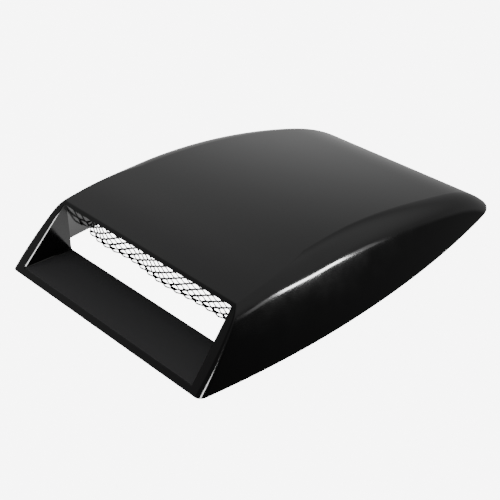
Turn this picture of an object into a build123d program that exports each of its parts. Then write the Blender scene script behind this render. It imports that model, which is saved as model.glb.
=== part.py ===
from build123d import *
import math
import os

# Bonnet scoop: a raised shell with a raked mouth, a short floor behind the lip, and a
# sheet of expanded metal standing across the air path.
# Millimetres. The bonnet is z = 0 and the mouth faces -Y. The shapes are worked out from the
# front lip at y = 0, and each finished piece is moved so that the origin is the middle of
# the shell's footprint.

# Outer shape
body_length = 349.5      # front lip to rear edge, along the bonnet
front_width = 216.8      # across the base at the front lip
widest_width = 238.2     # across the base at its widest
widest_place = 0.37      # where it is widest, as a share of the length
rear_width = 186.2       # across the base at the rear edge, before its corners round off
crown_height = 54.4      # highest point of the roof
base_lean = 10.4         # degrees that the side walls lean in where they meet the bonnet
wall_bow = 122.0         # radius of the side walls' outward bow, seen from the front

# Stations along the roof: share of the length, share of the crown height, radius between
# the roof and the side wall. The roof runs past both ends and is cut off there.
stations = [
    (-0.030, 0.740, 1.2),
    (0.129, 0.879, 1.2),
    (0.200, 0.939, 5.0),
    (0.277, 0.978, 9.0),
    (0.369, 1.000, 12.0),
    (0.462, 0.984, 14.5),
    (0.646, 0.826, 17.5),
    (0.800, 0.596, 19.0),
    (0.923, 0.319, 19.0),
    (1.000, 0.000, 18.5),
    (1.030, -0.165, 18.0),
]
below = 30.0             # how far the side walls run past the bonnet before they are cut

# Moulding
wall = 2.4               # side walls, flange, cheeks and floor
roof_wall = 2.2          # roof
lip_wall = 1.6           # roof where it ends over the mouth

# Mouth
mouth_rake = 46.8        # degrees between the mouth's plane and the bonnet
lip_rise = 3.7           # top of the front lip above the bonnet
mouth_foot = 193.4       # width of the opening at the lip
cheek_taper = 5.84       # degrees that the cheeks close in towards the rear
cheek_flare = 0.98       # degrees that the cheeks open out upwards
floor_slope = 2.08       # degrees that the floor climbs to the rear
duct_depth = 44.9        # front lip to the rear edge of the floor and the cheeks

# Expanded metal sheet
sheet_place = 71.5       # front face of the sheet behind the front lip
sheet = 1.0              # thickness
cell_long = 18.6         # diamond, along the sheet
cell_short = 9.4         # diamond, up the sheet
strand = 1.6             # width of a strand
tab = 8.0                # ends of the sheet, turned back along the side walls
tab_height = 39.0        # how far up the side walls the ends reach


def half_width(y):
    """Half the base's width: one shallow curve to the widest place, a second one to the rear."""
    widest = widest_place * body_length
    if y < widest:
        return widest_width / 2 - (widest_width - front_width) / 2 * ((widest - y) / widest) ** 2
    share = (y - widest) / (body_length - widest)
    return widest_width / 2 - (widest_width - rear_width) / 2 * share ** 2


def lean_in(z):
    """How far the side wall has come in from the base at the height z."""
    return z * math.tan(math.radians(base_lean)) + z * z / (2 * wall_bow)


def section(place, height, rounding, side, roof):
    """Cross-section at one station, set in by the thicknesses side and roof."""
    y = place * body_length
    foot = half_width(y) - side
    top = height * crown_height - roof
    middle = (top - below) / 2
    low_point = (foot - lean_in(-below), -below)
    middle_point = (foot - lean_in(middle), middle)
    top_point = (foot - lean_in(top), top)
    with BuildSketch(Plane.XZ.offset(-y)) as face:
        with BuildLine():
            wall_line = ThreePointArc(low_point, middle_point, top_point)
            Line(top_point, (0, top))
            Line((0, top), (0, -below))
            Line((0, -below), low_point)
        make_face()
        corner = face.vertices().sort_by_distance(Vector(*top_point))[0]
        fillet(corner, rounding)
        mirror(about=Plane.YZ)
    return face.sketch


def sections(side, roof, lip):
    """All sections of the shell, set in by side and roof, and by lip over the mouth."""
    mouth_share = (duct_depth + 1) / body_length
    faces = []
    for place, height, rounding in stations:
        roof_here = lip if place < mouth_share else roof
        faces.append(section(place, height, max(rounding - side, 0.5), side, roof_here))
    return faces


def duct_section(y, out, bottom):
    """Cross-section of the air path at y: the space between the cheeks, widened by out."""
    lip_y = lip_rise / math.tan(math.radians(mouth_rake))
    foot = mouth_foot / 2 + out - math.tan(math.radians(cheek_taper)) * (y - lip_y)
    flare = math.tan(math.radians(cheek_flare))
    top = 2 * crown_height
    low_x = foot + flare * (bottom - lip_rise)
    top_x = foot + flare * (top - lip_rise)
    with BuildSketch(Plane.XZ.offset(-y)) as face:
        with BuildLine():
            Polyline((0, bottom), (low_x, bottom), (top_x, top), (0, top), close=True)
        make_face()
        mirror(about=Plane.YZ)
    return face.sketch


def floor_height(y):
    """Top of the floor at y."""
    lip_y = lip_rise / math.tan(math.radians(mouth_rake))
    return lip_rise + math.tan(math.radians(floor_slope)) * (y - lip_y)


def diamond(long, short, mode=Mode.ADD):
    """A diamond opening, long across and short up."""
    return Polygon((-long / 2, 0), (0, -short / 2), (long / 2, 0), (0, short / 2), mode=mode)


# Diamond openings: the cell less the strand, measured square to the strand
cell_edge = math.hypot(cell_long, cell_short)
open_share = 1 - strand * cell_edge / (cell_long * cell_short)
open_long = cell_long * open_share
open_short = cell_short * open_share

rake = math.radians(mouth_rake)
mouth_plane = Plane(origin=(0, 0, 0), x_dir=(1, 0, 0), z_dir=(0, -math.sin(rake), math.cos(rake)))
before = -20.0                       # where the duct's tools start, ahead of the mouth
behind = duct_depth + 6.0            # where the air path has opened into the shell

# The shell's outside: a loft, cut off along the bonnet and along the raked mouth
with BuildPart() as outside:
    for face in sections(0, 0, 0):
        add(face)
    loft()
    split(bisect_by=Plane.XY, keep=Keep.TOP)
    split(bisect_by=mouth_plane, keep=Keep.BOTTOM)

# The same loft, one wall thickness in
with BuildPart() as inside:
    for face in sections(wall, roof_wall, lip_wall):
        add(face)
    loft()

# Cheeks and floor as one block, up to their rear edges
with BuildPart() as duct_block:
    add(duct_section(before, wall, -below))
    add(duct_section(duct_depth, wall, -below))
    loft()

# The hollow of the shell behind the flange and round the duct
with BuildPart() as hollow:
    add(inside.part)
    split(bisect_by=mouth_plane.offset(-wall), keep=Keep.BOTTOM)
    add(duct_block.part, mode=Mode.SUBTRACT)

# The air path: over the floor, between the cheeks, up to the roof's underside
with BuildPart() as air_path:
    add(duct_section(before, 0, floor_height(before)))
    add(duct_section(behind, 0, floor_height(behind)))
    loft()
    add(inside.part, mode=Mode.INTERSECT)

# The space under the floor, open to the bonnet
with BuildPart() as floor_space:
    with BuildSketch(Plane.YZ):
        with BuildLine():
            Polyline(
                (before, -below),
                (behind, -below),
                (behind, floor_height(behind) - wall),
                (before, floor_height(before) - wall),
                close=True,
            )
        make_face()
    extrude(amount=front_width, both=True)
    split(bisect_by=mouth_plane.offset(-wall), keep=Keep.BOTTOM)
with BuildPart() as cheek_space:
    add(duct_section(before, 0, -below))
    add(duct_section(behind, 0, -below))
    loft()
    add(floor_space.part, mode=Mode.INTERSECT)

with BuildPart() as moulding:
    add(outside.part)
    add(hollow.part, mode=Mode.SUBTRACT)
    add(air_path.part, mode=Mode.SUBTRACT)
    add(cheek_space.part, mode=Mode.SUBTRACT)

# The sheet's ends: a skin on the inside of each side wall, with one column of diamonds
with BuildPart() as end_core:
    for face in sections(wall + sheet, roof_wall, lip_wall):
        add(face)
    loft()
with BuildPart() as ends:
    with Locations((0, sheet_place, 0)):
        Box(2 * widest_width, tab, tab_height, align=(Align.CENTER, Align.MIN, Align.MIN))
    add(inside.part, mode=Mode.INTERSECT)
    add(end_core.part, mode=Mode.SUBTRACT)
    with BuildSketch(Plane.YZ):
        with Locations((sheet_place + sheet + (tab - sheet) / 2, tab_height / 2)):
            with GridLocations(cell_long, cell_short, 1, int(tab_height / cell_short)):
                diamond(tab - sheet - strand, cell_short - strand)
    extrude(amount=widest_width, both=True, mode=Mode.SUBTRACT)

# The sheet itself: a slice across the shell's inside, less two interleaved grids of diamonds
sheet_plane = Plane.XZ.offset(-sheet_place)
columns = 2 * math.ceil(widest_width / cell_long / 2) - 1
rows = math.ceil(crown_height / cell_short) + 1
with BuildPart() as slab:
    with Locations((0, sheet_place, 0)):
        Box(2 * widest_width, tab, 2 * crown_height, align=(Align.CENTER, Align.MIN, Align.MIN))
    add(inside.part, mode=Mode.INTERSECT)
with BuildSketch(sheet_plane) as lattice:
    add(sheet_plane.to_local_coords(slab.faces().sort_by(Axis.Y)[0]))
    with Locations((0, crown_height / 2)):
        with GridLocations(cell_long, cell_short, columns, rows):
            diamond(open_long, open_short, Mode.SUBTRACT)
        with GridLocations(cell_long, cell_short, columns - 1, rows - 1):
            diamond(open_long, open_short, Mode.SUBTRACT)
with BuildPart() as grille:
    extrude(lattice.sketch.faces().sort_by(SortBy.AREA)[-1], amount=-sheet, clean=False)
    add(ends.part, clean=False)

# Both pieces, moved from the front lip to the middle of the footprint
with BuildPart() as scoop_shell:
    with Locations((0, -body_length / 2, 0)):
        add(moulding.part, clean=False)
scoop_shell.part.label = "scoop_shell"
with BuildPart() as intake_mesh:
    with Locations((0, -body_length / 2, 0)):
        add(grille.part, clean=False)
intake_mesh.part.label = "intake_mesh"

os.makedirs("parts", exist_ok=True)
export_step(scoop_shell.part, "parts/scoop_shell.step")
export_step(intake_mesh.part, "parts/intake_mesh.step")
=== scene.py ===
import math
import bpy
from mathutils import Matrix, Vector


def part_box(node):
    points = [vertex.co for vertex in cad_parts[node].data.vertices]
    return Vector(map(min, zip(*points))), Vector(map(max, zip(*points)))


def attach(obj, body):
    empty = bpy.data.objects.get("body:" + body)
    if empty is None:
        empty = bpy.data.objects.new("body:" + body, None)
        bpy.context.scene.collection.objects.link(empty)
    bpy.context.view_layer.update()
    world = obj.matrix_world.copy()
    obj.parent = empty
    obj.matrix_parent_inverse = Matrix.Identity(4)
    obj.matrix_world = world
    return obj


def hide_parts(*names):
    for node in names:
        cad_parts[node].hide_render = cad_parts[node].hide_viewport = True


bl_info = {
    "name": "Bonnet Scoop",
    "version": (1, 0, 0),
    "blender": (4, 5, 0),
    "location": "View3D > Sidebar > Scoop",
    "description": "Builds a moulded bonnet scoop with a sheet of expanded metal across its air path",
    "category": "Object",
}

import bmesh
import bpy
import numpy as np
from mathutils import Vector

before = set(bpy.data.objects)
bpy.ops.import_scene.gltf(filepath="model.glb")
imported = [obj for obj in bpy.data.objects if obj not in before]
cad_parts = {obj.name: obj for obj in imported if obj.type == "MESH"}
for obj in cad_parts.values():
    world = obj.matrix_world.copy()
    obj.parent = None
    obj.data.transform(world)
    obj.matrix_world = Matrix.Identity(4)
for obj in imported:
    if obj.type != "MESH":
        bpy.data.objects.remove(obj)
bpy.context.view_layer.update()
shell_low, shell_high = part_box("scoop_shell")

# Stations along the roof: share of the length, share of the crown height, radius (m)
# of the roll-over between the roof and the side wall.
STATIONS = np.array([
    (-0.030, 0.740, 0.0220),
    (0.129, 0.879, 0.0220),
    (0.200, 0.939, 0.0190),
    (0.277, 0.978, 0.0185),
    (0.369, 1.000, 0.0195),
    (0.462, 0.984, 0.0216),
    (0.646, 0.826, 0.0215),
    (0.800, 0.596, 0.0195),
    (0.923, 0.319, 0.0190),
    (1.000, 0.000, 0.0185),
    (1.030, -0.165, 0.0180),
])

# Bends of the metal sheet in plan: place across and distance behind the sheet's place (m)
WAVE = np.array([
    (-0.140, 0.0060),
    (-0.106, 0.0055),
    (-0.090, 0.0025),
    (-0.055, 0.0042),
    (-0.012, 0.0004),
    (0.020, 0.0022),
    (0.060, 0.0030),
    (0.140, 0.0010),
])

# Crease between the roof and the roll-over: how far behind the lip it ends and the length it
# deepens over (m), and the power it deepens by
CREASE_END, CREASE_RUN, CREASE_POWER = 0.117, 0.072, 1.35

# Behind the mouth the skin's rows turn from its raked plane to straight across over this length (m)
RAKE_FADE = 0.130

# Rows of the skin behind the mouth: first, last and count of two even runs, and the start and
# count of the last run, which ends at the rear edge (m)
FRONT_ROWS, MIDDLE_ROWS = (0.0025, 0.060, 24), (0.063, 0.315, 80)
REAR_START, REAR_COUNT = 0.317, 22

# How far the top edges of the cheeks and the sheet are sunk into the roof (m)
SINK = 0.0008

# Dome round the studio. Each part is how it joins the ones before it, the axis along which the
# view direction is measured, the start and end of a smooth step along it, and the step's ends.
DOME = (
    ("", (-0.6, 0.0, 0.8), -0.36, -0.18, 0.22, 0.56),
    ("MULTIPLY", (0.0, 1.0, 0.0), -0.20, 0.90, 0.40, 1.00),
    ("MULTIPLY", (-1.0, 0.0, 0.0), 0.42, 0.74, 0.50, 1.45),
    ("ADD", (0.295, 0.30, 0.907), 0.50, 0.86, 0.00, 0.40),
)

# Lights: name, centre, point they face, width, height (m), power (W), and the kind of
# reflection they are left out of
LIGHTS = (
    ("top_panel", (-0.5, -0.3, 2.22), (0.0, 0.0, 0.02), 1.6, 1.6, 25.0, "glossy"),
    ("side_strip", (1.626, 1.070, 0.36), (0.1, 0.0, 0.04), 0.46, 0.22, 27.0, "diffuse"),
    ("side_wash", (1.626, 1.070, 0.36), (0.1, 0.0, 0.04), 1.00, 0.28, 1.4, "diffuse"),
    ("front_panel", (1.09, -1.53, 0.862), (0.0, 0.0, 0.02), 0.5, 0.5, 26.0, "diffuse"),
)

# Camera at the photo's angle: where it stands, the point it faces (m) and its focal length (mm)
CAMERA_PLACE = (0.5000, -0.5086, 0.4420)
CAMERA_AIM = (0.0006, -0.0247, 0.0)
CAMERA_LENS = 74.69

# Half the side of the studio's floor (m)
FLOOR_HALF = 6.0


class ShellSizes(bpy.types.PropertyGroup):
    """Sizes of the moulding, measured from its front lip."""

    length: bpy.props.FloatProperty(
        name="Length", description="Front lip to rear edge",
        default=shell_high.y - shell_low.y, unit="LENGTH")
    crown: bpy.props.FloatProperty(
        name="Crown", description="Highest point of the roof",
        default=shell_high.z, unit="LENGTH")
    front_width: bpy.props.FloatProperty(
        name="Front width", description="Across the base at the front lip",
        default=0.2168, unit="LENGTH")
    widest_width: bpy.props.FloatProperty(
        name="Widest width", description="Across the base at its widest",
        default=0.2382, unit="LENGTH")
    widest_place: bpy.props.FloatProperty(
        name="Widest place", description="Where the base is widest, as a share of the length",
        default=0.37)
    rear_width: bpy.props.FloatProperty(
        name="Rear width", description="Across the base at the rear, before its corners round off",
        default=0.1862, unit="LENGTH")
    lean: bpy.props.FloatProperty(
        name="Lean", description="How far the side walls lean in at the bonnet",
        default=math.radians(12.1), subtype="ANGLE")
    bow: bpy.props.FloatProperty(
        name="Bow", description="Radius of the side walls' outward bow",
        default=0.190, unit="LENGTH")
    crease: bpy.props.FloatProperty(
        name="Crease", description="How far the roof cuts the roll-over's top off at the mouth",
        default=0.0052, unit="LENGTH")
    wall: bpy.props.FloatProperty(
        name="Wall", description="Thickness of the side walls, the mouth's face, the cheeks and the floor",
        default=0.0024, unit="LENGTH")
    roof: bpy.props.FloatProperty(
        name="Roof", description="Thickness of the roof", default=0.0022, unit="LENGTH")
    roof_lip: bpy.props.FloatProperty(
        name="Roof lip", description="Thickness of the roof over the mouth",
        default=0.0016, unit="LENGTH")
    edge: bpy.props.FloatProperty(
        name="Edge", description="Size of the rounding on the mouth's edges",
        default=0.0009, unit="LENGTH")
    foot_edge: bpy.props.FloatProperty(
        name="Foot edge", description="Size of the rounding where the mouth's outer corners stand",
        default=0.0048, unit="LENGTH")


class MouthSizes(bpy.types.PropertyGroup):
    """Sizes of the mouth and the short duct behind it."""

    rake: bpy.props.FloatProperty(
        name="Rake", description="Angle between the mouth's face and the bonnet",
        default=math.radians(46.8), subtype="ANGLE")
    lip_rise: bpy.props.FloatProperty(
        name="Lip rise", description="Top of the front lip above the bonnet",
        default=0.0037, unit="LENGTH")
    foot: bpy.props.FloatProperty(
        name="Foot", description="Width of the opening at the lip",
        default=0.1934, unit="LENGTH")
    taper: bpy.props.FloatProperty(
        name="Taper", description="How far the cheeks close in towards the rear",
        default=math.radians(5.84), subtype="ANGLE")
    flare: bpy.props.FloatProperty(
        name="Flare", description="How far the cheeks open out upwards",
        default=math.radians(0.98), subtype="ANGLE")
    floor_slope: bpy.props.FloatProperty(
        name="Floor slope", description="How far the floor climbs to the rear",
        default=math.radians(2.08), subtype="ANGLE")
    depth: bpy.props.FloatProperty(
        name="Depth", description="Front lip to the rear edge of the floor and the cheeks",
        default=0.0449, unit="LENGTH")
    corner: bpy.props.FloatProperty(
        name="Corner", description="Radius between the floor and the cheeks",
        default=0.0012, unit="LENGTH")


class SheetSizes(bpy.types.PropertyGroup):
    """Sizes of the expanded metal sheet."""

    place: bpy.props.FloatProperty(
        name="Place", description="Sheet behind the front lip",
        default=0.0720, unit="LENGTH")
    long_pitch: bpy.props.FloatProperty(
        name="Long pitch", description="One diamond, along the sheet",
        default=0.0110, unit="LENGTH")
    short_pitch: bpy.props.FloatProperty(
        name="Short pitch", description="One diamond, up the sheet",
        default=0.0056, unit="LENGTH")
    strand: bpy.props.FloatProperty(
        name="Strand", description="Width of a strand",
        default=0.0012, unit="LENGTH")
    bond: bpy.props.FloatProperty(
        name="Bond", description="Length of the joint between two diamonds",
        default=0.0016, unit="LENGTH")
    gauge: bpy.props.FloatProperty(
        name="Gauge", description="Thickness of the metal",
        default=0.0008, unit="LENGTH")
    twist: bpy.props.FloatProperty(
        name="Twist", description="How far the strands stand out of the sheet for their width",
        default=0.6)
    tab: bpy.props.FloatProperty(
        name="Tab", description="Ends of the sheet, turned back along the side walls",
        default=0.008, unit="LENGTH")


class ScoopFinish(bpy.types.PropertyGroup):
    """Colours and gloss."""

    plastic: bpy.props.FloatVectorProperty(
        name="Plastic", description="Colour of the moulded plastic",
        default=(0.004, 0.004, 0.0042), subtype="COLOR", min=0.0, max=1.0)
    # Lighter colour for the mouth's up-facing floor: painted light that stands in for light falling on it
    painted_light_floor: bpy.props.FloatVectorProperty(
        name="Grained", description="Colour of the matt grained floor of the mouth",
        default=(0.025, 0.025, 0.026), subtype="COLOR", min=0.0, max=1.0)
    plastic_roughness: bpy.props.FloatProperty(
        name="Plastic roughness", description="How far the plastic scatters a reflection",
        default=0.11, min=0.0, max=1.0)
    metal: bpy.props.FloatVectorProperty(
        name="Metal", description="Colour of the painted metal sheet",
        default=(0.012, 0.012, 0.0125), subtype="COLOR", min=0.0, max=1.0)
    metal_roughness: bpy.props.FloatProperty(
        name="Metal roughness", description="How far the sheet scatters a reflection",
        default=0.45, min=0.0, max=1.0)
    floor: bpy.props.FloatVectorProperty(
        name="Floor", description="Colour of the studio floor",
        default=(0.6, 0.6, 0.6), subtype="COLOR", min=0.0, max=1.0)
    floor_glow: bpy.props.FloatProperty(
        name="Floor glow", description="Light that the studio floor gives off",
        default=7.0, min=0.0)
    within_glow: bpy.props.FloatProperty(
        name="Inner floor glow", description="Light that the floor inside the shell gives off",
        default=1.6, min=0.0)


def half_width(sizes, y):
    """Half the base's width at y: one parabola to the widest place and a second one to the rear."""
    widest = sizes.widest_place * sizes.length
    ahead = (widest - y) / widest
    behind = (y - widest) / (sizes.length - widest)
    drop = np.where(
        y < widest,
        (sizes.widest_width - sizes.front_width) * ahead ** 2,
        (sizes.widest_width - sizes.rear_width) * behind ** 2,
    )
    return (sizes.widest_width - drop) / 2


def lean_in(sizes, z):
    """How far the side wall has come in at the height z: the lean's slope plus the bow's sagitta."""
    return z * math.tan(sizes.lean) + z * z / (2 * sizes.bow)


def through(knots, values, at):
    """Natural cubic spline through the knots.

    The second derivatives come from the usual tridiagonal system, and each value is the cubic
    between its two knots.
    """
    gap = np.diff(knots)
    rise = np.diff(values) / gap
    n = len(knots)
    system = np.eye(n)
    inner = np.arange(1, n - 1)
    system[inner, inner - 1] = gap[:-1]
    system[inner, inner] = 2 * (gap[:-1] + gap[1:])
    system[inner, inner + 1] = gap[1:]
    right = np.zeros(n)
    right[1:-1] = 6 * np.diff(rise)
    bend = np.linalg.solve(system, right)
    k = np.clip(np.searchsorted(knots, at) - 1, 0, n - 2)
    after, ahead, width = at - knots[k], knots[k + 1] - at, gap[k]
    cubic = (bend[k] * ahead ** 3 + bend[k + 1] * after ** 3) / (6 * width)
    left = (values[k] / width - bend[k] * width / 6) * ahead
    return cubic + left + (values[k + 1] / width - bend[k + 1] * width / 6) * after


def roof_height(sizes, y):
    """Height of the roof at y, through the stations."""
    return through(STATIONS[:, 0] * sizes.length, STATIONS[:, 1] * sizes.crown, y)


def roof_thickness(sizes, y):
    """Thickness of the roof at y: thin over the mouth, then a smooth step to the full thickness."""
    mouth, full = STATIONS[1, 0] * sizes.length, STATIONS[2, 0] * sizes.length
    share = np.clip((y - mouth) / (full - mouth), 0, 1)
    return sizes.roof_lip + (sizes.roof - sizes.roof_lip) * share ** 2 * (3 - 2 * share)


def skin(sizes, y, up, across, inset):
    """Half width and height of the shell's skin at y, for columns on the side and on the roof.

    The side is the bowed wall, then the roll-over, an arc that touches the wall. Behind the
    crown the arc touches the flat roof too. Ahead of it the roof lies lower and cuts the arc
    off in a crease, which deepens as a power of the distance to its end. The side's columns
    are spaced by length plus turning, and the roof's run level from the arc to the middle.
    The inner skin is set in by the walls' thickness.
    """
    side = sizes.wall if inset else 0.0
    foot = half_width(sizes, y) - side
    top = roof_height(sizes, y) - (roof_thickness(sizes, y) if inset else 0.0)
    radius = through(STATIONS[:, 0] * sizes.length, STATIONS[:, 2], y) - side
    full = top + sizes.crease * np.clip((CREASE_END - y) / CREASE_RUN, 0, None) ** CREASE_POWER
    meets = full
    for step in range(5):
        slope = np.arctan(math.tan(sizes.lean) + meets / sizes.bow)
        meets = full - radius + radius * np.sin(slope)
    centre_x = foot - lean_in(sizes, meets) - radius * np.cos(slope)
    centre_z = full - radius
    wall_top = np.clip(meets, 0.0, top)
    start = np.where(meets > 0, slope, np.arcsin(np.clip(-centre_z / radius, -1, 1)))
    end = np.maximum(np.arcsin(np.clip((top - centre_z) / radius, -1, 1)), start)
    slant, turning = 1.03, 0.010
    wall_share = wall_top * slant
    arc_share = (radius + turning) * (end - start)
    reach = up * (wall_share + arc_share)
    z_wall = wall_top * np.clip(reach / np.maximum(wall_share, 1e-9), 0, 1)
    turn = np.clip((reach - wall_share) / np.maximum(arc_share, 1e-9), 0, 1)
    angle = start + (end - start) * turn
    on_wall = reach < wall_share
    x = np.where(on_wall, foot - lean_in(sizes, z_wall), centre_x + radius * np.cos(angle))
    z = np.where(on_wall, z_wall, centre_z + radius * np.sin(angle))
    return x * (1 - across), z


def columns(side_count, roof_count):
    """Place up the side, place across the roof and sign of x, from the left foot to the right.

    Both places run evenly from 0 to 1, with closer columns on either side of the crease.
    """
    below, beyond = [0.985, 0.994, 1.0], [0.005, 0.015]
    up = np.concatenate([np.linspace(0, 0.97, side_count - 2), below, np.ones(roof_count)])
    level = np.linspace(0.04, 1, roof_count - 2)
    across = np.concatenate([np.zeros(side_count + 1), beyond, level])
    sign = np.ones_like(up)
    return (
        np.concatenate([up, up[-2::-1]]),
        np.concatenate([across, across[-2::-1]]),
        np.concatenate([-sign, sign[-2::-1]]),
    )


def skin_rows(sizes, mouth, starts, cols, inset):
    """Rows of the skin from a grid of starts, one row of starts for each.

    A row crosses the shell at y = start + z / tan(rake) * weight. The weight is 1 at the
    mouth, so the first row lies in the mouth's raked plane, and it falls smoothly to 0 behind.
    """
    up, across, sign = cols
    hold = sizes.wall / math.sin(mouth.rake)
    base = starts + np.zeros_like(up)[None, :]
    share = np.clip((base - hold) / RAKE_FADE, 0, 1)
    weight = (1 - share ** 2 * (3 - 2 * share)) / math.tan(mouth.rake)
    y = base
    for step in range(14):
        x, z = skin(sizes, y, up[None, :], across[None, :], inset)
        y = base + z * weight
    return np.stack([x * sign[None, :], y, z], axis=-1)


def duct_x(mouth, y, z):
    """Half width of the air path: it closes in towards the rear and opens out upwards."""
    lip_y = mouth.lip_rise / math.tan(mouth.rake)
    run = mouth.foot / 2 - math.tan(mouth.taper) * (y - lip_y)
    return run + math.tan(mouth.flare) * (z - mouth.lip_rise)


def seam_x(sizes, mouth, z):
    """Line on the mouth's face halfway between the shell's outline and the opening.

    The outline is the wall's, less the square of the height above the start of the roll-over.
    """
    y = z / math.tan(mouth.rake)
    turn_start, turn_span = 0.0395, 0.034
    turned = np.maximum(z - turn_start, 0.0) ** 2 / turn_span
    outline = half_width(sizes, y) - lean_in(sizes, z) - turned
    return (outline + duct_x(mouth, y, z)) / 2


def under_roof(sizes, mouth):
    """Height of the roof's underside where it meets the mouth's plane, found by repetition."""
    z = np.array(sizes.crown)
    for step in range(20):
        y = z / math.tan(mouth.rake)
        z = roof_height(sizes, y) - roof_thickness(sizes, y)
    return float(z)


def quads(rows, cols, wrap=False):
    """Faces of a grid of rows and columns, whose last column joins the first if it wraps."""
    last = cols if wrap else cols - 1
    row, col = np.meshgrid(np.arange(rows - 1), np.arange(last), indexing="ij")
    here, there = row * cols, (row + 1) * cols
    nxt = (col + 1) % cols
    return np.stack([here + col, here + nxt, there + nxt, there + col], -1).reshape(-1, 4)


def edge_round(corner, first, second, steps):
    """Rounded edge between two offsets from each corner point.

    The point runs from the first offset to the second on a quarter of an ellipse:
    corner + (1 - sin a) first + (1 - cos a) second.
    """
    a = np.linspace(0, math.pi / 2, steps)[:, None, None]
    return corner[None] + (1 - np.sin(a)) * first[None] + (1 - np.cos(a)) * second[None]


def unit(vectors):
    """The vectors scaled to length 1."""
    return vectors / np.maximum(np.linalg.norm(vectors, axis=-1, keepdims=True), 1e-9)


def make_piece(name, points, faces, material, node, smooth_to=38.0):
    """A closed mesh object from points measured from the lip, moved to the row's frame."""
    points = np.asarray(points, float).reshape(-1, 3).copy()
    points[:, 1] += shell_low.y
    mesh = bpy.data.meshes.new(name)
    mesh.from_pydata(points.tolist(), [], faces)
    work = bmesh.new()
    work.from_mesh(mesh)
    bmesh.ops.remove_doubles(work, verts=work.verts, dist=2e-6)
    bmesh.ops.dissolve_degenerate(work, edges=work.edges, dist=1e-6)
    bmesh.ops.recalc_face_normals(work, faces=work.faces)
    work.to_mesh(mesh)
    work.free()
    if not len(mesh.polygons):
        raise RuntimeError(name + " has no faces")
    mesh.shade_smooth()
    mesh.set_sharp_from_angle(angle=math.radians(smooth_to))
    mesh.materials.append(material)
    piece = bpy.data.objects.new(name, mesh)
    bpy.context.scene.collection.objects.link(piece)
    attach(piece, "root")
    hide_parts(node)
    return piece


def cowl_mesh(sizes, mouth):
    """The shell's outer and inner skins, joined at the mouth, the foot and the rear edge.

    Rows run from the rear forward over the outer skin, round the mouth's edge, over its face to
    the seam, back by the wall's thickness, and rearward again over the inner skin. The edge's
    rounding falls evenly from the bonnet to the roof. The inner skin ends where the roof's
    underside meets the bonnet.
    """
    cols = columns(side_count=34, roof_count=16)
    length = sizes.length
    rim = skin_rows(sizes, mouth, np.zeros((1, 1)), cols, False)[0]
    roof_starts = 0.95 * rim[:, 2].max()
    rise = np.clip(rim[:, 2] / roof_starts, 0, 1)
    edge = sizes.foot_edge + (sizes.edge - sizes.foot_edge) * rise
    runs = [np.linspace(*run) for run in (FRONT_ROWS, MIDDLE_ROWS, (REAR_START, length, REAR_COUNT))]
    starts = np.concatenate([[0.0, 0.0006], *runs])
    behind_edge = edge[None, :] + starts[:, None] * (1 - edge[None, :] / length)
    outer = skin_rows(sizes, mouth, behind_edge, cols, False)

    y_fine = np.linspace(0.8 * length, length, 2000)
    underside = roof_height(sizes, y_fine) - sizes.roof
    inner_end = float(np.interp(0.0, -underside, y_fine))
    hold = sizes.wall / math.sin(mouth.rake)
    inner = skin_rows(sizes, mouth, (hold + starts / length * (inner_end - hold))[:, None], cols, True)

    z = np.minimum(rim[:, 2], under_roof(sizes, mouth))
    on_roof = cols[1] > 0
    x = np.where(on_roof, np.abs(inner[0, :, 0]), seam_x(sizes, mouth, z))
    seam = np.stack([x * cols[2], z / math.tan(mouth.rake), z], -1)
    seam_back = seam + np.array([0.0, hold, 0.0])
    seam_back[on_roof] = inner[0][on_roof]

    back = outer[0] - rim
    room = 0.8 * np.linalg.norm(seam - rim, axis=-1)
    inward = unit(seam - rim) * np.minimum(edge, room)[:, None]
    turned = edge_round(rim, back, inward, steps=7)[1:]
    past_edge = 1.12
    support = rim + inward * past_edge

    sheet = np.concatenate([outer[::-1], turned, support[None], seam[None], seam_back[None], inner])
    rows, width = sheet.shape[0], sheet.shape[1]
    count = len(starts)
    faces = quads(rows, width).tolist()
    last = (rows - 1) * width
    k = np.arange(width - 1)
    faces += np.stack([k, k + 1, last + k + 1, last + k], -1).tolist()
    front_rows = list(range(count - 1, rows - count + 1))
    for column in (0, width - 1):
        j = np.arange(count - 1)
        out = (count - 1 - j) * width + column
        out_next = (count - 2 - j) * width + column
        inn = (rows - count + j) * width + column
        inn_next = (rows - count + 1 + j) * width + column
        faces += np.stack([out, out_next, inn_next, inn], -1).tolist()
        faces.append([row * width + column for row in front_rows])
    return sheet, faces


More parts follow.
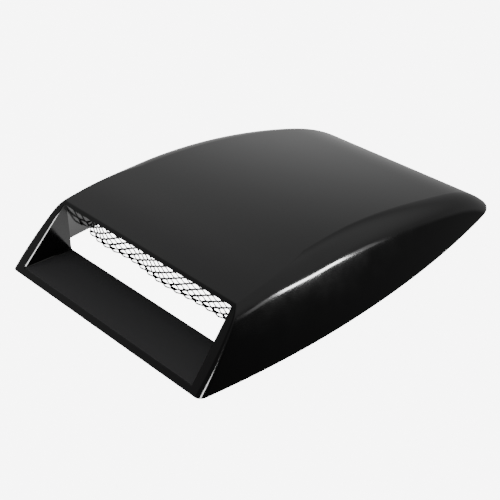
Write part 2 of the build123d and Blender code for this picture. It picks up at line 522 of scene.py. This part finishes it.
def surround_mesh(sizes, mouth):
    """The mouth's face inside the seam, the cheeks and the floor, as one angle profile.

    The profile is carried round three sides of the opening: down one cheek, round the corner,
    along the lip and up the other cheek. In it the face runs from the seam to the opening's
    bevelled edge, then the cheek or floor runs back and returns one thickness further out.
    """
    cot = 1 / math.tan(mouth.rake)
    hold = sizes.wall / math.sin(mouth.rake)
    r = mouth.corner
    lip = mouth.lip_rise
    under = under_roof(sizes, mouth)
    centre_z = lip + r
    centre_x = float(duct_x(mouth, centre_z * cot, centre_z)) - r
    foot_x = float(seam_x(sizes, mouth, np.array(0.0)))
    split = math.atan2(centre_z, foot_x - centre_x)
    rise = np.linspace(1, 0, 15)
    psi = np.concatenate([np.linspace(0, split, 4)[1:], np.linspace(split, math.pi / 2, 5)[1:]])
    along = np.linspace(1, 0, 12)[1:]
    sides, arcs, sills = len(rise), len(psi), len(along)
    up = np.concatenate([rise, np.zeros(arcs + sills)])
    angle = np.concatenate([np.zeros(sides), psi, np.full(sills, math.pi / 2)])
    run = np.concatenate([np.ones(sides + arcs), along])
    normal_x, normal_z = np.cos(angle), -np.sin(angle)
    is_sill = np.arange(len(up)) >= sides + arcs

    def path(y, floor, top):
        """Opening's outline at y, from its top down the cheek and along the floor."""
        z = floor + r + up * (top - floor - r) + r * normal_z
        x = duct_x(mouth, y, z) - r * (1 - normal_x)
        return np.where(is_sill, (duct_x(mouth, y, floor) - r) * run, x), z

    z = lip + r + up * (under - lip - r) + r * normal_z
    x, z = path(z * cot, lip, under)
    edge = np.stack([x, z * cot, z], -1)

    to_side = angle <= split + 1e-9
    slope = np.tan(np.clip(angle, 1e-6, None))
    seam_z = np.array(z)
    for step in range(6):
        drop = (seam_x(sizes, mouth, seam_z) - centre_x) * slope
        seam_z = np.where(to_side, centre_z - drop, 0.0)
    seam_z = np.where(np.arange(len(up)) < sides, z, np.maximum(seam_z, 0.0))
    to_foot = centre_x + centre_z / np.tan(np.maximum(angle, split))
    face_x = np.where(to_side, seam_x(sizes, mouth, seam_z), to_foot)
    face_x = np.where(is_sill, centre_x * run, face_x)
    face = np.stack([face_x, seam_z * cot, seam_z], -1)
    face_back = face + np.array([0.0, hold, 0.0])

    rear_floor = lip + math.tan(mouth.floor_slope) * (mouth.depth - lip * cot)
    y_rear = np.full(len(up), mouth.depth)
    rear_top = float(roof_height(sizes, np.array(mouth.depth)) - sizes.roof_lip) + SINK
    x, z = path(y_rear, rear_floor, rear_top)
    y_rear = np.maximum(mouth.depth, z * cot + hold)
    x, z = path(y_rear, rear_floor, rear_top)
    rear = np.stack([x, y_rear, z], -1)
    outward = np.stack([normal_x, np.zeros(len(up)), normal_z], -1) * sizes.wall
    rear_out = rear + outward
    back_z = edge[:, 2] + normal_z * sizes.wall + 1.5 * SINK * up
    back_y = back_z * cot + hold
    closing = duct_x(mouth, back_y, back_z) - duct_x(mouth, edge[:, 1], edge[:, 2])
    back_x = edge[:, 0] + closing * (run >= 1)
    back = np.stack([back_x + normal_x * sizes.wall, back_y, back_z], -1)

    sill_width, cheek_width, widening, cheek_depth = 0.8, 0.42, 0.25, 1.4
    wide = sizes.edge * np.where(is_sill, sill_width, cheek_width + widening * (1 - up))
    deep = wide * np.where(is_sill, 1.0, cheek_depth)
    face_room = 0.45 * np.linalg.norm(face - edge, axis=-1)
    side_room = 0.45 * np.linalg.norm(rear - edge, axis=-1)
    on_face = unit(face - edge) * np.minimum(wide, face_room)[:, None]
    on_side = unit(rear - edge) * np.minimum(deep, side_room)[:, None]
    turned = edge_round(edge, on_face, on_side, steps=2)
    past_edge = 1.35
    near_face, near_rear = edge + on_face * past_edge, edge + on_side * past_edge
    profile = [face, near_face, *turned, near_rear, rear, rear_out, back, face_back]
    half = np.stack(profile, 1)
    mirrored = half[-2::-1] * np.array([-1.0, 1.0, 1.0])
    loop = np.concatenate([half, mirrored])
    rows, width = loop.shape[0], loop.shape[1]
    faces = quads(rows, width, wrap=True).tolist()
    faces.append(list(range(width)))
    faces.append([(rows - 1) * width + k for k in range(width)])
    return loop, faces


def sheet_mesh(sizes, sheet):
    """Expanded metal as tiles, one for each diamond, laid over the sheet's own surface.

    A tile is the six-sided hole with half of each strand round it, heavier at the sheet's foot
    and ends. Its points stand out of the sheet by the twist times their height above the nearest
    row of bonds. On the surface the distance along the sheet becomes x up to the side wall, and
    what is left turns back along it. The part below the sheet's foot turns forward along the
    bonnet.
    """
    a, b = sheet.long_pitch / 2, sheet.short_pitch / 2
    s, t = sheet.strand / 2, sheet.bond / 2

    def tile_points(joint, grow):
        """Corners of one tile, outline first and hole last, with longer joints and wider strands."""
        quarter = [(a, s), (a - t, s), (t, b - s), (0.0, b - s)]
        outer = quarter + [(-u, v) for u, v in quarter[2::-1]]
        outer = outer + [(-u, -v) for u, v in outer]
        side, top = a - t * joint, b - 2 * s * grow
        hole = [(side, 0.0), (t, top), (-t, top), (-side, 0.0), (-t, -top), (t, -top)]
        return np.array(outer + hole)

    light, heavy = tile_points(joint=1.0, grow=1.0), tile_points(joint=2.2, grow=1.15)
    tile_faces = [
        [13, 0, 1, 14, 12], [1, 2, 15, 14], [2, 3, 4, 16, 15], [4, 5, 17, 16],
        [5, 6, 7, 8, 17], [8, 9, 18, 17], [9, 10, 11, 19, 18], [11, 12, 14, 19],
    ]
    reach = sizes.widest_width / 2 + sheet.tab
    n = int(reach / sheet.long_pitch) + 1
    m = int(sizes.crown / sheet.short_pitch) + 1
    i, j = np.meshgrid(np.arange(-n, n + 1), np.arange(-1, m + 1), indexing="ij")
    even = np.stack([i.ravel() * 2 * a, j.ravel() * 2 * b], -1)
    odd = even + np.array([a, b])
    centres = np.concatenate([even, odd])

    place = np.array(sheet.place)

    def side_at(z):
        """Inner face of the side wall at the sheet, less just over half the metal's thickness."""
        x, height = skin(sizes, place, np.linspace(0, 1, 80), 0.0, True)
        return np.interp(z, height, x) - sheet.gauge * 0.6

    roof = float(roof_height(sizes, place) - roof_thickness(sizes, place))
    across, height = np.abs(centres[:, 0]), centres[:, 1]
    past_wall = across - side_at(height)
    keep = (height < roof + b / 2) & (height > -1.5 * b) & (past_wall < sheet.tab)
    tab_top = roof * 0.85
    keep &= ~((past_wall > 0) & ((height > tab_top) | (height < 0)))
    centres, height, past_wall = centres[keep], height[keep], past_wall[keep]
    is_heavy = (height < 1.5 * b) | (past_wall > 0)
    local = np.where(is_heavy[:, None, None], heavy[None], light[None])
    level = np.where(np.abs(local[..., 1]) > b / 2, np.sign(local[..., 1]) * b, 0.0)
    stand = sheet.twist * (local[..., 1] - level)

    flat = centres[:, None, :] + local
    along, flange = flat[..., 0], np.maximum(-flat[..., 1], 0.0)
    above_bonnet = 0.0006
    z = np.clip(flat[..., 1], 0.0, roof + SINK) + above_bonnet
    wall_x = side_at(z)
    on_tab, on_flange = np.abs(along) > wall_x, flange > 0
    x = np.clip(along, -wall_x, wall_x) - np.where(on_tab, np.sign(along) * np.abs(stand) / 2, 0.0)
    y = sheet.place + through(WAVE[:, 0], WAVE[:, 1], along) + np.maximum(np.abs(along) - wall_x, 0.0)
    y = y - np.where(on_tab | on_flange, 0.0, stand) - flange
    z = z + np.where(on_flange, np.abs(stand), 0.0)
    first = np.arange(len(centres))[:, None] * len(light)
    faces = []
    for ring in tile_faces:
        faces += (first + np.array(ring)[None, :]).tolist()
    return np.stack([x, y, z], -1), faces


def new_material(name):
    """A material with an empty node tree, its output and its main shader."""
    material = bpy.data.materials.new(name)
    material.use_nodes = True
    tree = material.node_tree
    tree.nodes.clear()
    output = tree.nodes.new("ShaderNodeOutputMaterial")
    shader = tree.nodes.new("ShaderNodeBsdfPrincipled")
    tree.links.new(shader.outputs["BSDF"], output.inputs["Surface"])
    return material, tree, shader


def noise(tree, scale, detail=2.0):
    """Noise on the object's own coordinates; the scale is in periods to the metre."""
    place = tree.nodes.new("ShaderNodeTexCoord")
    node = tree.nodes.new("ShaderNodeTexNoise")
    node.inputs["Scale"].default_value = scale
    node.inputs["Detail"].default_value = detail
    tree.links.new(place.outputs["Object"], node.inputs["Vector"])
    return node.outputs["Fac"]


def between(tree, value, low, high):
    """Spreads a noise value, which lies mostly between 0.3 and 0.7, over a range."""
    node = tree.nodes.new("ShaderNodeMapRange")
    node.inputs["From Min"].default_value = 0.3
    node.inputs["From Max"].default_value = 0.7
    node.inputs["To Min"].default_value = low
    node.inputs["To Max"].default_value = high
    tree.links.new(value, node.inputs["Value"])
    return node.outputs["Result"]


def bump(tree, height, distance, strength):
    """Bump from a height, with its depth in metres."""
    node = tree.nodes.new("ShaderNodeBump")
    node.inputs["Distance"].default_value = distance
    node.inputs["Strength"].default_value = strength
    tree.links.new(height, node.inputs["Height"])
    return node.outputs["Normal"]


def tinted(tree, value, colour, spread):
    """The colour, a little darker and lighter with the value."""
    node = tree.nodes.new("ShaderNodeMix")
    node.data_type = "RGBA"
    tree.links.new(value, node.inputs["Factor"])
    node.inputs["A"].default_value = [c * (1 - spread) for c in colour] + [1.0]
    node.inputs["B"].default_value = [c * (1 + spread) for c in colour] + [1.0]
    return node.outputs["Result"]


def plastic_material(finish):
    """Semi-gloss moulded plastic: a fine grain, faint waviness and uneven gloss."""
    material, tree, shader = new_material("moulded_plastic")
    gloss = finish.plastic_roughness
    rough = between(tree, noise(tree, scale=60.0, detail=3.0), low=gloss - 0.015, high=gloss + 0.02)
    colour = tinted(tree, noise(tree, scale=35.0), finish.plastic, spread=0.12)
    grain = bump(tree, noise(tree, scale=2600.0), distance=0.00001, strength=0.05)
    tree.links.new(rough, shader.inputs["Roughness"])
    tree.links.new(colour, shader.inputs["Base Color"])
    tree.links.new(grain, shader.inputs["Normal"])
    shader.inputs["IOR"].default_value = 1.5
    return material


def floor_material_with_painted_light(finish):
    """The same plastic made lighter for the mouth's floor as painted light, with a fine matt grain."""
    material, tree, shader = new_material("floor_plastic_painted_light")
    colour = tinted(tree, noise(tree, scale=900.0, detail=3.0), finish.painted_light_floor, spread=0.10)
    grain = bump(tree, noise(tree, scale=1800.0), distance=0.00004, strength=0.3)
    tree.links.new(colour, shader.inputs["Base Color"])
    tree.links.new(grain, shader.inputs["Normal"])
    shader.inputs["Roughness"].default_value = 0.55
    shader.inputs["Specular IOR Level"].default_value = 0.25
    return material


def metal_material(finish):
    """Painted metal sheet with a satin surface."""
    material, tree, shader = new_material("painted_sheet")
    gloss = finish.metal_roughness
    rough = between(tree, noise(tree, scale=400.0), low=gloss - 0.06, high=gloss + 0.08)
    colour = tinted(tree, noise(tree, scale=250.0), finish.metal, spread=0.2)
    grain = bump(tree, noise(tree, scale=3500.0), distance=0.00002, strength=0.3)
    tree.links.new(rough, shader.inputs["Roughness"])
    tree.links.new(colour, shader.inputs["Base Color"])
    tree.links.new(grain, shader.inputs["Normal"])
    shader.inputs["Specular IOR Level"].default_value = 0.3
    return material


def floor_material(name, finish, glow):
    """Matt pale floor that gives off light, like a light table."""
    material, tree, shader = new_material(name)
    shader.inputs["Base Color"].default_value = [*finish.floor, 1.0]
    shader.inputs["Emission Color"].default_value = [1.0, 1.0, 1.0, 1.0]
    shader.inputs["Emission Strength"].default_value = glow
    shader.inputs["Roughness"].default_value = 0.9
    shader.inputs["Specular IOR Level"].default_value = 0.1
    return material


class SCOOP_OT_cowl(bpy.types.Operator):
    """Build the shell's roof and side walls"""

    bl_idname = "scoop.cowl"
    bl_label = "Shell"

    def execute(self, context):
        scene = context.scene
        sheet, faces = cowl_mesh(scene.scoop_shell, scene.scoop_mouth)
        material = plastic_material(scene.scoop_finish)
        make_piece("shell_cowl", sheet, faces, material, "scoop_shell", 50.0)
        return {"FINISHED"}


class SCOOP_OT_surround(bpy.types.Operator):
    """Build the mouth's face, its cheeks and its floor, lighter where it faces up as painted light"""

    bl_idname = "scoop.surround"
    bl_label = "Mouth"

    def execute(self, context):
        scene = context.scene
        loop, faces = surround_mesh(scene.scoop_shell, scene.scoop_mouth)
        material = bpy.data.materials["moulded_plastic"]
        piece = make_piece("mouth_surround", loop, faces, material, "scoop_shell")
        mesh = piece.data
        mesh.materials.append(floor_material_with_painted_light(scene.scoop_finish))
        normals = np.empty(3 * len(mesh.polygons))
        mesh.polygons.foreach_get("normal", normals)
        # Faces that point nearly straight up take the lighter floor colour: painted light on the mouth's
        # floor
        nearly_level = 0.98
        painted_light_floor = normals[2::3] > nearly_level
        mesh.polygons.foreach_set("material_index", painted_light_floor.astype(np.int32))
        return {"FINISHED"}


class SCOOP_OT_sheet(bpy.types.Operator):
    """Build the expanded metal sheet"""

    bl_idname = "scoop.sheet"
    bl_label = "Metal sheet"

    def execute(self, context):
        scene = context.scene
        points, faces = sheet_mesh(scene.scoop_shell, scene.scoop_sheet)
        material = metal_material(scene.scoop_finish)
        piece = make_piece("expanded_sheet", points, faces, material, "intake_mesh")
        thick = piece.modifiers.new("gauge", "SOLIDIFY")
        thick.thickness = scene.scoop_sheet.gauge
        thick.offset = 0.0
        return {"FINISHED"}


def stand_facing(name, data, place, aim):
    """An object at a place, turned so that it faces the aim."""
    item = bpy.data.objects.new(name, data)
    item.location = place
    item.rotation_mode = "QUATERNION"
    item.rotation_quaternion = (Vector(aim) - Vector(place)).to_track_quat("-Z", "Y")
    bpy.context.scene.collection.objects.link(item)
    return item


def panel_light(name, centre, aim, width, height, power, left_out_of):
    """A soft rectangular light that faces the aim and is left out of one kind of reflection."""
    data = bpy.data.lights.new(name, "AREA")
    data.shape = "RECTANGLE"
    data.size, data.size_y = width, height
    data.energy = power
    light = stand_facing(name, data, centre, aim)
    light.visible_glossy = left_out_of != "glossy"
    light.visible_diffuse = left_out_of != "diffuse"


def stage_piece(name, corners, material):
    """A level face of the studio through the corners."""
    mesh = bpy.data.meshes.new(name)
    mesh.from_pydata(corners, [], [tuple(range(len(corners)))])
    mesh.materials.append(material)
    piece = bpy.data.objects.new(name, mesh)
    bpy.context.scene.collection.objects.link(piece)
    return piece


def studio_floor(finish):
    """The studio's floor, a level square that the pieces neither mirror nor are lit by."""
    corners = [(x * FLOOR_HALF, y * FLOOR_HALF, 0.0) for x, y in ((-1, -1), (1, -1), (1, 1), (-1, 1))]
    material = floor_material("studio_floor", finish, finish.floor_glow)
    ground = stage_piece("floor", corners, material)
    ground.visible_glossy = False
    ground.visible_diffuse = False
    return ground


def inside_floor(sizes, finish):
    """The floor inside the shell, out to the middle of the walls' feet.

    The pieces mirror it and are lit by it, and the camera sees the studio's floor below it.
    """
    from_ends, above_floor = 0.006, 0.0001
    y = np.linspace(from_ends, sizes.length - from_ends, 24)
    x = half_width(sizes, y) - sizes.wall / 2
    x = np.concatenate([x, -x[::-1]])
    y = np.concatenate([y, y[::-1]]) + shell_low.y
    corners = np.stack([x, y, np.full(len(x), above_floor)], -1).tolist()
    material = floor_material("floor_within", finish, finish.within_glow)
    under = stage_piece("floor_within", corners, material)
    under.visible_camera = False
    return under


def studio_world():
    """A soft dome, pale to the left and at the upper right, dim low down on the right and in front.

    Each part is a smooth step of the view direction's share along one axis. The first three
    multiply and the last one is added.
    """
    world = bpy.data.worlds.new("studio")
    world.use_nodes = True
    tree = world.node_tree
    way = tree.nodes.new("ShaderNodeTexCoord")
    strength = None
    for join, axis, start, end, low, high in DOME:
        along = tree.nodes.new("ShaderNodeVectorMath")
        along.operation = "DOT_PRODUCT"
        along.inputs[1].default_value = axis
        tree.links.new(way.outputs["Generated"], along.inputs[0])
        ramp = tree.nodes.new("ShaderNodeMapRange")
        ramp.interpolation_type = "SMOOTHSTEP"
        ramp.inputs["From Min"].default_value = start
        ramp.inputs["From Max"].default_value = end
        ramp.inputs["To Min"].default_value = low
        ramp.inputs["To Max"].default_value = high
        tree.links.new(along.outputs["Value"], ramp.inputs["Value"])
        if not join:
            strength = ramp.outputs["Result"]
            continue
        joined = tree.nodes.new("ShaderNodeMath")
        joined.operation = join
        tree.links.new(strength, joined.inputs[0])
        tree.links.new(ramp.outputs["Result"], joined.inputs[1])
        strength = joined.outputs["Value"]
    background = tree.nodes["Background"]
    background.inputs["Color"].default_value = (1.0, 1.0, 1.0, 1.0)
    tree.links.new(strength, background.inputs["Strength"])
    return world


class SCOOP_OT_studio(bpy.types.Operator):
    """Build the floor, the lights and the camera"""

    bl_idname = "scoop.studio"
    bl_label = "Studio"

    def execute(self, context):
        scene = context.scene
        finish = scene.scoop_finish
        ground = studio_floor(finish)
        under = inside_floor(scene.scoop_shell, finish)
        scene.world = studio_world()
        for light in LIGHTS:
            panel_light(*light)
        data = bpy.data.cameras.new("camera")
        data.lens = CAMERA_LENS
        data.sensor_width = 36.0
        scene.camera = stand_facing("camera", data, CAMERA_PLACE, CAMERA_AIM)
        return {"FINISHED"}


class SCOOP_PT_panel(bpy.types.Panel):
    """Sidebar panel with the sizes, the colours and a button for each piece"""

    bl_idname = "SCOOP_PT_panel"
    bl_label = "Bonnet Scoop"
    bl_space_type = "VIEW_3D"
    bl_region_type = "UI"
    bl_category = "Scoop"

    def draw(self, context):
        layout = self.layout
        scene = context.scene
        for title, group in (
            ("Shell", scene.scoop_shell),
            ("Mouth", scene.scoop_mouth),
            ("Sheet", scene.scoop_sheet),
            ("Finish", scene.scoop_finish),
        ):
            layout.label(text=title)
            for key in group.__annotations__:
                layout.prop(group, key)
        for operator in STEPS:
            layout.operator(operator)


GROUPS = (
    ("scoop_shell", ShellSizes),
    ("scoop_mouth", MouthSizes),
    ("scoop_sheet", SheetSizes),
    ("scoop_finish", ScoopFinish),
)
OPERATORS = (SCOOP_OT_cowl, SCOOP_OT_surround, SCOOP_OT_sheet, SCOOP_OT_studio)
STEPS = tuple(operator.bl_idname for operator in OPERATORS)


def register():
    """Registers the classes and hangs the settings on the scene."""
    for name, group in GROUPS:
        bpy.utils.register_class(group)
        setattr(bpy.types.Scene, name, bpy.props.PointerProperty(type=group))
    for operator in OPERATORS:
        bpy.utils.register_class(operator)
    bpy.utils.register_class(SCOOP_PT_panel)


def unregister():
    """Takes the classes and the settings off again."""
    bpy.utils.unregister_class(SCOOP_PT_panel)
    for operator in reversed(OPERATORS):
        bpy.utils.unregister_class(operator)
    for name, group in reversed(GROUPS):
        delattr(bpy.types.Scene, name)
        bpy.utils.unregister_class(group)


def main():
    """Builds the pieces and the studio in order."""
    register()
    bpy.ops.scoop.cowl()
    bpy.ops.scoop.surround()
    bpy.ops.scoop.sheet()
    bpy.ops.scoop.studio()


if __name__ == "__main__":
    main()
